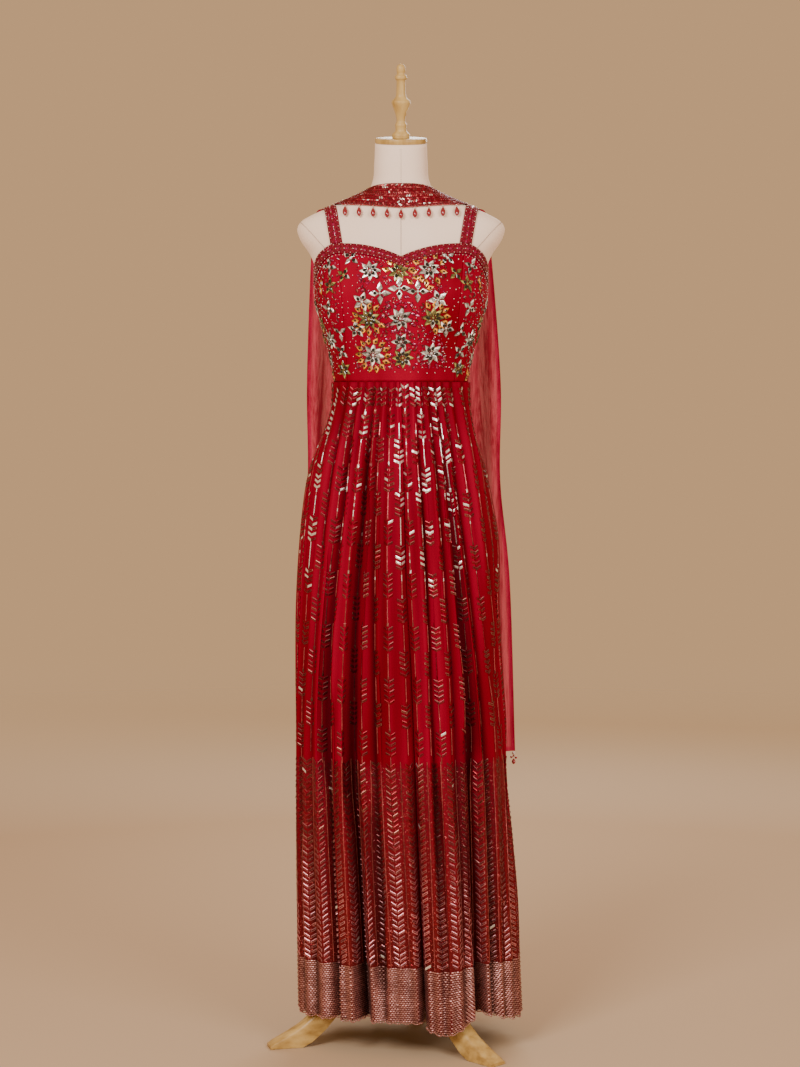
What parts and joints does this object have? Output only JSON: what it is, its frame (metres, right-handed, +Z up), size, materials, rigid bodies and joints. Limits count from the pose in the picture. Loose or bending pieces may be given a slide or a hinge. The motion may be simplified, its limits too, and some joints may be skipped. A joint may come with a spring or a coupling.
{
  "type": "embroidered jumpsuit on a limbless dress form with a tripod stand",
  "caption": "Sleeveless jumpsuit with a fitted mirror-work bodice and wide gathered sequinned legs, sheer back drape, on a dress form and stand.",
  "frame": {"origin": "middle of the footprint, on the floor", "axes": "+Z up along the stand's pole; the garment's front faces -Y and the viewer's right is +X"},
  "size_m": [0.4382, 0.4054, 1.6725],
  "materials": {
    "red_cloth": "red georgette with metallic sequins",
    "beaded_border": "red cloth covered in beads and sequins",
    "red_beads": "polished translucent red drops",
    "red_net": "sheer red net",
    "cream_linen": "matt cream linen, seamed",
    "turned_wood": "pale varnished beech"
  },
  "bodies": {
    "root": {"bodice_front_centre": "red_cloth", "bodice_front_side_left": "red_cloth", "bodice_front_side_right": "red_cloth", "bodice_back_left": "red_cloth", "bodice_back_right": "red_cloth", "leg_left_front": "red_cloth", "leg_left_back": "red_cloth", "leg_right_front": "red_cloth", "leg_right_back": "red_cloth", "neckline_border_front": "beaded_border", "neckline_border_back": "beaded_border", "strap_left": "beaded_border", "strap_right": "beaded_border", "neck_band": "beaded_border", "neck_band_drops": "red_beads", "drape": "red_net", "form_torso": "cream_linen", "neck_cap": "turned_wood", "finial": "turned_wood", "stand_pole": "turned_wood", "stand_hub": "turned_wood", "stand_leg_left": "turned_wood", "stand_leg_right": "turned_wood", "stand_leg_back": "turned_wood"}
  },
  "joints": []
}
